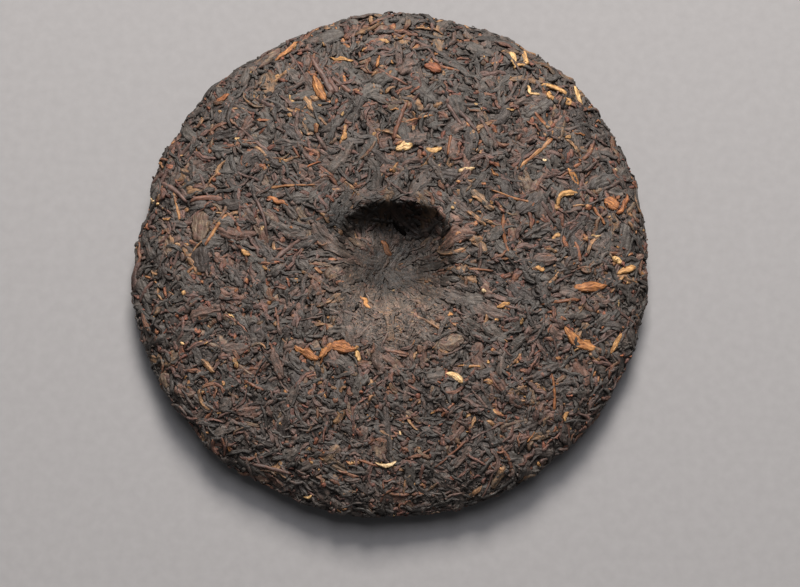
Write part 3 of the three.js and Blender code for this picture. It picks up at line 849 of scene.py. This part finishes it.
# The camera looks down on the shown face from a little to the -Y side. Lens and sensor are in mm, and so are
# the width of the field at the aim and the aim itself. The picture's size is in pixels.
view = {"lens": 85.0, "sensor": 36.0, "fieldWidth": 308.8, "elevation": 78.5, "aim": (3.7, -14.4, 12.0),
        "pictureWide": 800, "pictureHigh": 587}
sightRounds = 6              # how often a sight line's height is read again


# The direction back from the aim, the picture's up direction, and the eye: the aim plus back times the
# distance.
def viewAxes():
    elevation = np.radians(view["elevation"])
    back = np.array([0, -np.cos(elevation), np.sin(elevation)])
    up = np.array([0, np.sin(elevation), np.cos(elevation)])
    return back, up, np.array(view["aim"]) + back * view["fieldWidth"] * view["lens"] / view["sensor"]


# Where the sight line through each place in the picture meets the shown face: the line is cut at the face's
# height, and the height is read again there, a few times over.
def shownPlace(px, py):
    back, up, eye = viewAxes()
    perPixel = view["sensor"] / view["lens"] / view["pictureWide"]
    right, rise = (px - view["pictureWide"] / 2) * perPixel, (view["pictureHigh"] / 2 - py) * perPixel
    sight = right[:, None] * np.array([1, 0, 0]) + rise[:, None] * up - back
    widest = np.argmax(section["r"])
    level = np.full(px.size, cake["crownLevel"])
    for _ in range(sightRounds):
        spot = eye + sight * ((level - eye[2]) / sight[:, 2])[:, None] - np.array(cake["shift"])
        azimuth = np.arctan2(spot[:, 1], spot[:, 0])
        radius = np.hypot(spot[:, 0], spot[:, 1]) / outlineScale(azimuth)
        way = np.interp(radius, section["r"][:widest], section["way"][:widest])
        level = along("z", way)
    return way, azimuth


# The brightness of what is placed one by one, and its rank: 0 puts a piece at its kind's lowest level and 1
# at the highest.
byHand = {"bright": 1.05, "broadRank": 1.2, "stalkRank": 1.1, "tipRank": 1.15, "rankPlay": 0.1}


# Pieces that can be told apart on the shown face are placed one by one: where their middle shows in the
# picture, heading in degrees from +X, length and width in mm, turn from end to end in degrees, and tone.
def placed(rows, rank):
    px, py, heading, length, width, turn, tone = (np.array(column, float) for column in zip(*rows))
    way, azimuth = shownPlace(px, py)
    return {
        "way": way,
        "azimuth": azimuth,
        "heading": np.radians(heading),
        "length": length,
        "width": width,
        "turn": np.radians(turn),
        "rank": np.full(px.size, rank) + draw.uniform(-byHand["rankPlay"], byHand["rankPlay"], px.size),
        "tone": tone,
        "bright": np.full(px.size, byHand["bright"]),
        "ownColour": np.ones(px.size),
    }


# Each kind's values: "stations" and "across" are a piece's points along and across it. Ranges go from least
# to most, in mm for sizes and for the level over the skin. More "lengthBias" makes more short pieces. "turn",
# "wriggle" and "spread" are in radians. "taper" holds its two powers, "pinch" and "torn" make the edges
# uneven, "thick" is a share of the width and "edgeFall" of the thickness, and "rare" is the share of palest
# pieces.

# Rolled leaves: whole leaves twisted into thin strips and pressed flat. Dark, with a dull sheen. The other
# kinds differ from them only in what they name.
rolledLeaf = {
    "stations": 9, "across": [-1, -0.45, 0.45, 1],
    "length": (4.5, 16.0), "lengthBias": 1.5, "width": (1.1, 2.8), "turn": 0.9, "wriggle": 0.3,
    "spread": 0.85, "rimSpread": 0.6, "bright": (0.85, 1.12), "rare": 0.13, "ownColour": 0,
    "taper": (3.0, 0.75), "pinch": 0.2, "torn": 0.07, "crumple": 0.09, "level": (-0.6, 0.3),
    "tipFall": 0.5, "tipPower": 5, "thick": 0.5, "thickRange": (0.55, 1.1), "edgeFall": 0.75,
    # the edge darkness is painted shade: darker towards the edges, on the lower side and at the tips
    "edgePower": 2.4, "edgeShade": 0.25, "ripple": 0.0, "rippleWave": 1.0, "furrow": (-0.1, 0.45),
}

# The same on the rim, where more of them stand out and are a little darker.
rimLeaf = {**rolledLeaf, "level": (-0.6, 0.75), "bright": (0.66, 0.98)}

# Small crumpled leaves: the fine pluck that fills the lower part of the face.
smallLeaf = {
    **rolledLeaf,
    "stations": 7, "across": [-1, -0.5, 0, 0.5, 1],
    "length": (3.5, 9.0), "width": (1.6, 4.2), "level": (-0.65, 0.2), "bright": (0.7, 0.96),
    "rare": 0.08, "thick": 0.32, "edgePower": 2.8, "ripple": 0.17,
}

# Folded leaves: broader leaves that lie open or doubled up, with creases along them.
foldedLeaf = {
    **rolledLeaf,
    "stations": 11, "across": [-1, -0.72, -0.43, -0.14, 0.14, 0.43, 0.72, 1],
    "length": (8.0, 18.0), "lengthBias": 1.0, "width": (3.2, 8.0), "turn": 0.55, "wriggle": 0.2,
    "bright": (0.75, 1.2), "rare": 0.14,
    "taper": (2.6, 0.6), "pinch": 0.16, "torn": 0.12, "crumple": 0.08, "level": (-0.5, 0.22),
    "tipFall": 0.45, "thick": 0.2, "thickRange": (0.55, 0.9), "edgeFall": 0.8,
    "edgePower": 3, "edgeShade": 0.3, "ripple": 0.26, "rippleWave": 1.1, "furrow": (0.0, 0.4),
}

# Stalks: straight, round and woody.
stalk = {
    **rolledLeaf,
    "across": [-1, -0.7, -0.25, 0.25, 0.7, 1],
    "length": (9.0, 21.0), "lengthBias": 1.2, "width": (1.0, 1.9), "turn": 0.16, "wriggle": 0.06,
    "spread": 1.2, "rare": 0.3,
    "taper": (9.0, 0.6), "pinch": 0.08, "torn": 0.03, "crumple": 0.03, "level": (-0.6, 0.4),
    "tipFall": 0.25, "tipPower": 8, "thick": 0.6, "thickRange": (0.6, 1.1), "edgeFall": 0.8,
    "edgePower": 2.2, "edgeShade": 0.3, "furrow": (0.0, 0.15),
}

# Golden tips: the downy buds, small, curled and bright.
goldenTip = {
    **rolledLeaf,
    "across": [-1, -0.55, 0, 0.55, 1],
    "length": (1.8, 7.0), "lengthBias": 2.2, "width": (0.8, 2.0), "turn": 1.2, "wriggle": 0.35,
    "spread": 1.2, "bright": (0.5, 1.05), "rare": 0.12, "ownColour": 1,
    "taper": (2.4, 0.8), "pinch": 0.12, "torn": 0.12, "crumple": 0.08, "level": (-0.6, 0.4),
    "tipFall": 0.35, "thick": 0.4, "thickRange": (0.5, 1.0), "edgeFall": 0.8,
    "edgePower": 2.6, "edgeShade": 0.35, "ripple": 0.14, "rippleWave": 0.8, "furrow": (0.1, 0.6),
}

# Broken leaf: short flakes that fill the gaps.
brokenLeaf = {
    **rolledLeaf,
    "stations": 5, "across": [-1, -0.4, 0.4, 1],
    "length": (1.8, 6.6), "lengthBias": 1.3, "width": (0.8, 2.8), "turn": 0.8, "wriggle": 0.25,
    "spread": 1.4, "bright": (0.75, 1.15),
    "taper": (2.6, 0.6), "pinch": 0.3, "torn": 0.12,
    "tipFall": 0.3, "tipPower": 3, "thick": 0.4, "thickRange": (0.45, 0.95), "edgeFall": 0.7,
    "edgeShade": 0.3, "furrow": (-0.3, 0.3),
}

# Crumbs: the smallest bits, which lie thickest on the lower part of the face and along the rim.
crumb = {
    **brokenLeaf,
    "stations": 4, "across": [-1, 0, 1],
    "length": (0.9, 3.4), "lengthBias": 1.6, "width": (0.7, 1.6), "level": (-0.25, 0.45),
    "tipFall": 0.15, "torn": 0.08, "rare": 0.11,
}

# Tone stops run from the darkest leaf of the kind to the palest.
# Rolled leaf: nearly black, green-grey to red-brown, with a dull waxy sheen on its wrinkles.
darkLeafLook = {
    "name": "ripened rolled leaf",
    "tones": [(0.0, "#312925"), (0.16, "#3f3935"), (0.3, "#484440"), (0.4, "#4b4440"),
              (0.5, "#54433b"), (0.6, "#5e4a44"), (0.69, "#61443a"), (0.78, "#6e4b38"),
              (0.88, "#5e5244"), (0.95, "#7c593e"), (1.0, "#8b6b4d")],
    "streak": 0.25, "hueDrift": 0.42,          # shares of the ramp that the fibres and the slow change move
    "wrinkleLong": 3.0, "wrinkleWide": 0.65, "wrinkleDepth": 0.45, "wrinkleChange": 0.26,
    "patchSize": 2.4, "patchChange": 0.24,
    "grainSize": 0.75, "grainRelief": 0.6, "grainChange": 0.18,
    # creases: painted shade in them, with a little painted light on the ridges between
    "creaseSpacing": 1.5, "creaseBend": 5.0, "creaseWide": 0.5, "creaseShade": 0.26, "creaseRelief": 0.35,
    "ridgeLight": 1.06, "bump": 1.0, "roughness": (0.46, 0.68), "ior": 1.45, "specular": 0.35,
}
# Broad leaf: the same tea laid open, so that the eye sees its veins and longer creases.
foldedLeafLook = {
    **darkLeafLook,
    "name": "ripened broad leaf",
    "tones": [(0.0, "#352d29"), (0.22, "#433c38"), (0.38, "#4b4641"), (0.52, "#504741"),
              (0.66, "#58473f"), (0.78, "#62473c"), (0.88, "#5f5245"), (1.0, "#73573f")],
    "wrinkleWide": 0.8, "wrinkleLong": 4.5, "creaseSpacing": 2.1,
}
# Stalk: woody and paler, with fine straight fibres and hardly any relief.
stalkLook = {
    **darkLeafLook,
    "name": "ripened tea stalk",
    "tones": [(0.0, "#453530"), (0.4, "#59453e"), (0.7, "#674434"), (0.9, "#7d5034"), (1.0, "#8d6641")],
    "wrinkleWide": 0.35, "wrinkleLong": 9.0, "wrinkleDepth": 0.16, "roughness": (0.45, 0.6),
}
# Golden bud: dry down that scatters the light, so that it looks matt and warm, straw to orange-brown.
goldenTipLook = {
    **darkLeafLook,
    "name": "golden tea bud",
    "tones": [(0.0, "#76452f"), (0.25, "#8f5d38"), (0.5, "#a07548"), (0.75, "#b79261"), (1.0, "#d2b68e")],
    "wrinkleWide": 0.5, "wrinkleLong": 2.0, "wrinkleDepth": 0.3, "wrinkleChange": 0.35,
    "streak": 0.5, "hueDrift": 0.3, "roughness": (0.5, 0.7),
}
# Broken leaf: short torn faces, from black to rust where the leaf's inside shows.
brokenLeafLook = {
    **darkLeafLook,
    "name": "broken ripened leaf",
    "tones": [(0.0, "#2c2522"), (0.25, "#3c3632"), (0.42, "#49443f"), (0.56, "#54433b"),
              (0.7, "#5c4039"), (0.82, "#704536"), (0.92, "#85573d"), (1.0, "#9c7950")],
    "wrinkleLong": 1.6, "wrinkleWide": 0.5,
}

# Fine tea gathers on the lower part of the face, and crumbs along the rim too: from and to, in mm, and the
# share of each that stays on the upper part.
fineTea = {"down": (-20, 40), "out": (80, 95), "smallOnUpper": 0.05, "crumbsOnUpper": 0.35}


# Keeps the spots with a chance that grows from the upper edge of the face to the lower one and the rim.
def thickestLow(way, azimuth, least, onRim):
    y = lensPoint(way, azimuth)[:, 1]
    chance = np.maximum(smooth(-y, *fineTea["down"]), onRim * smooth(along("r", way), *fineTea["out"]))
    chance = least + (1 - least) * chance
    kept = draw.random(way.size) < chance
    return way[kept], azimuth[kept]


corePiece()

leafCount = {"rolledShown": 2750, "rolledRim": 1050, "rolledUnder": 1750, "small": 2450, "folded": 1080,
             "stalks": 230, "tips": 380, "broken": 6000, "crumbs": 4500}
topShare, lowShare = rimShares()
rolledMaterial = teaMaterial(darkLeafLook)
shown = drawnPieces(rolledLeaf, *spotsOn(leafCount["rolledShown"], 0, topShare))
pressedPieces("rolled_leaves_shown_face", rolledLeaf, shown, rolledMaterial)
smallSpots = thickestLow(*spotsOn(leafCount["small"], 0, topShare), fineTea["smallOnUpper"], onRim=0)
pressedPieces("small_crumpled_leaves", smallLeaf, drawnPieces(smallLeaf, *smallSpots), rolledMaterial)
rim = drawnPieces(rimLeaf, *spotsOn(leafCount["rolledRim"], topShare, lowShare), onRim=True)
pressedPieces("rolled_leaves_rim", rimLeaf, rim, rolledMaterial)
under = drawnPieces(rolledLeaf, *spotsOn(leafCount["rolledUnder"], lowShare, 1))
pressedPieces("rolled_leaves_underside", rolledLeaf, under, rolledMaterial)

# Broad dark leaves and one that is half red-brown.
broadPlaced = [
    (201, 260, -80, 11, 8.5, 0, 0.1),
    (201, 227, -85, 13, 8, 0, 0.85),
    (529, 203, 15, 13, 8, 0, 0.2),
    (330, 35, 20, 12, 8, 0, 0.3),
]
broad = placed(broadPlaced, byHand["broadRank"])
folded = joined(broad, drawnPieces(foldedLeaf, *spotsOn(leafCount["folded"], 0, 1)))
pressedPieces("folded_leaves", foldedLeaf, folded, teaMaterial(foldedLeafLook))

stalksPlaced = [
    (400, 120, -111, 18.5, 1.8, 4, 0.62),
    (468, 120, -56, 12.7, 1.8, 0, 0.15),
    (455, 115, -56, 12.7, 1.8, 3, 0.25),
    (321, 73, -57, 21.5, 2.4, 6, 0.4),
    (206, 197, 5, 15, 2.2, -50, 0.6),
    (174, 190, -38, 17, 2.2, -25, 0.35),
]
knownStalks = placed(stalksPlaced, byHand["stalkRank"])
stalks = joined(knownStalks, drawnPieces(stalk, *spotsOn(leafCount["stalks"], 0, 1)))
pressedPieces("stalks", stalk, stalks, teaMaterial(stalkLook))

tipsPlaced = [
    (318, 88, -67, 14, 4.1, 20, 0.3),
    (404, 146, 0, 8, 3.8, 15, 0.8),
    (434, 151, 30, 7.5, 2.6, 70, 0.65),
    (514, 58, -85, 10, 3.5, 10, 0.75),
    (527, 63, -110, 15, 2.8, -100, 0.6),
    (530, 94, -20, 9, 1.8, 120, 0.8),
    (555, 87, -20, 13, 2.7, -80, 0.6),
    (549, 97, -15, 6, 3.1, 0, 0.55),
    (567, 102, -25, 4.5, 3.5, 0, 0.55),
    (577, 96, -75, 10.5, 2.6, 20, 0.75),
    (574, 176, -70, 8.5, 3.4, 0, 0.35),
    (563, 194, 20, 14, 2.6, -110, 0.55),
    (612, 203, -30, 7, 5.9, 0, 0.2),
    (624, 205, -100, 12, 2.6, -40, 0.15),
    (617, 259, 45, 6.5, 3.2, 0, 0.75),
    (628, 270, 12, 10, 3, 0, 0.55),
    (591, 287, 10, 14.5, 4.3, 10, 0.25),
    (540, 269, -5, 4.5, 2.7, 0, 0.5),
    (503, 305, 40, 6, 2, 0, 0.5),
    (456, 376, -32, 8.5, 2.8, -65, 0.8),
    (578, 343, -20, 17, 4.9, 60, 0.3),
    (616, 344, -115, 10, 2.3, 0, 0.5),
    (386, 466, 0, 9, 1.5, 70, 0.95),
    (306, 352, -23, 12.5, 3.8, 10, 0.25),
    (325, 350, 49, 9, 3.4, 0, 0.3),
    (343, 347, -15, 11, 5.0, -10, 0.2),
    (358, 356, -50, 4.5, 2.2, 0, 0.7),
    (245, 253, -50, 5, 2.4, 0, 0.55),
    (366, 300, -100, 9, 2.4, 0, 0.4),
    (386, 241, -97, 9, 2.7, 0, 0.2),
    (278, 202, -15, 11, 2.3, 0, 0.2),
    (152, 201, -60, 4, 2.4, 0, 0.9),
    (345, 137, 60, 4.5, 2.3, 0, 0.5),
    (222, 100, 35, 8, 2.7, 0, 0.15),
    (341, 58, 5, 11, 1.8, 0, 0.55),
    (378, 62, -95, 6, 1.6, 0, 0.3),
    (286, 51, 27, 15, 2.7, 0, 0.3),
    (433, 67, -20, 8, 4.6, 0, 0.02),
]
tips = drawnPieces(goldenTip, *spotsOn(leafCount["tips"], 0, 1))
tips = joined(placed(tipsPlaced, byHand["tipRank"]), tips)
pressedPieces("golden_tips", goldenTip, tips, teaMaterial(goldenTipLook))

broken = drawnPieces(brokenLeaf, *spotsOn(leafCount["broken"], 0, 1))
brokenMaterial = teaMaterial(brokenLeafLook)
pressedPieces("broken_leaf", brokenLeaf, broken, brokenMaterial)
crumbSpots = thickestLow(*spotsOn(leafCount["crumbs"], 0, 1), fineTea["crumbsOnUpper"], onRim=1)
pressedPieces("crumbs", crumb, drawnPieces(crumb, *crumbSpots), brokenMaterial)
print("leaves laid")


# Plain pale floor of matt paper: it scatters the light evenly, so that only the soft shadow shows on it. Size
# and mottle are in metres.
floorLook = {"size": 4.0, "tones": [(0.3, "#868484"), (0.7, "#8a8888")], "mottleSize": 0.004,
             "roughness": 0.9, "specular": 0.2}


# One square at table height.
def floorPiece():
    half = floorLook["size"] / 2
    mesh = bpy.data.meshes.new("floor")
    corners = [(-half, -half, 0), (half, -half, 0), (half, half, 0), (-half, half, 0)]
    mesh.from_pydata(corners, [], [(0, 1, 2, 3)])
    material, tree = newMaterial("matt paper floor")
    place = addNode(tree, "TexCoord")
    mottle = addNode(tree, "TexNoise", {}, {
        "Vector": (place, "Object"), "Scale": 1 / floorLook["mottleSize"], **fineness["paper"]})
    ramp = addNode(tree, "ValToRGB", {"stops": floorLook["tones"]}, {"Fac": (mottle, "Fac")})
    shader = addNode(tree, "BsdfPrincipled", {}, {
        "Base Color": (ramp, "Color"), "Roughness": floorLook["roughness"],
        "Specular IOR Level": floorLook["specular"]})
    addNode(tree, "OutputMaterial", {}, {"Surface": (shader, "BSDF")})
    mesh.materials.append(material)
    floor = bpy.data.objects.new("floor", mesh)
    bpy.context.scene.collection.objects.link(floor)


floorPiece()

# Soft light: a wide lamp from the far side, which leaves the dimple's far wall in shade, and a weaker and
# wider one above it. Direction and height are in degrees, size and distance in metres.
lamps = [
    {"name": "key", "from": 86, "height": 44, "distance": 1.7, "size": 0.62, "watts": 55.0,
     "colour": "#fffaf4"},
    {"name": "fill", "from": 80, "height": 68, "distance": 1.8, "size": 1.1, "watts": 19.0,
     "colour": "#f8f9ff"},
]
sky = {"colour": "#d8dade", "strength": 0.15}


# An area lamp at its distance along its direction, turned to face the middle of the table.
def addLamp(lamp):
    light = bpy.data.lights.new(lamp["name"], "AREA")
    light.energy = lamp["watts"]
    light.size = lamp["size"]
    light.color = linear(lamp["colour"])[:3]
    piece = bpy.data.objects.new(lamp["name"], light)
    turn, height = np.radians(lamp["from"]), np.radians(lamp["height"])
    way = Vector((np.cos(height) * np.cos(turn), np.cos(height) * np.sin(turn), np.sin(height)))
    piece.location = way * lamp["distance"]
    piece.rotation_euler = way.to_track_quat("Z", "Y").to_euler()
    bpy.context.scene.collection.objects.link(piece)


for lamp in lamps:
    addLamp(lamp)

world = bpy.data.worlds.new("soft room")
world.use_nodes = True
world.node_tree.nodes["Background"].inputs["Color"].default_value = linear(sky["colour"])
world.node_tree.nodes["Background"].inputs["Strength"].default_value = sky["strength"]
bpy.context.scene.world = world
bpy.context.scene.view_settings.view_transform = "Standard"
print("floor and light ready")


# The camera at the eye, turned so that it looks the other way from the direction back.
def addCamera():
    lens = bpy.data.cameras.new("camera")
    lens.lens = view["lens"]
    lens.sensor_width = view["sensor"]
    camera = bpy.data.objects.new("camera", lens)
    back, _, eye = viewAxes()
    camera.location = eye * mm
    camera.rotation_euler = Vector(back).to_track_quat("Z", "Y").to_euler()
    bpy.context.scene.collection.objects.link(camera)
    bpy.context.scene.camera = camera


addCamera()
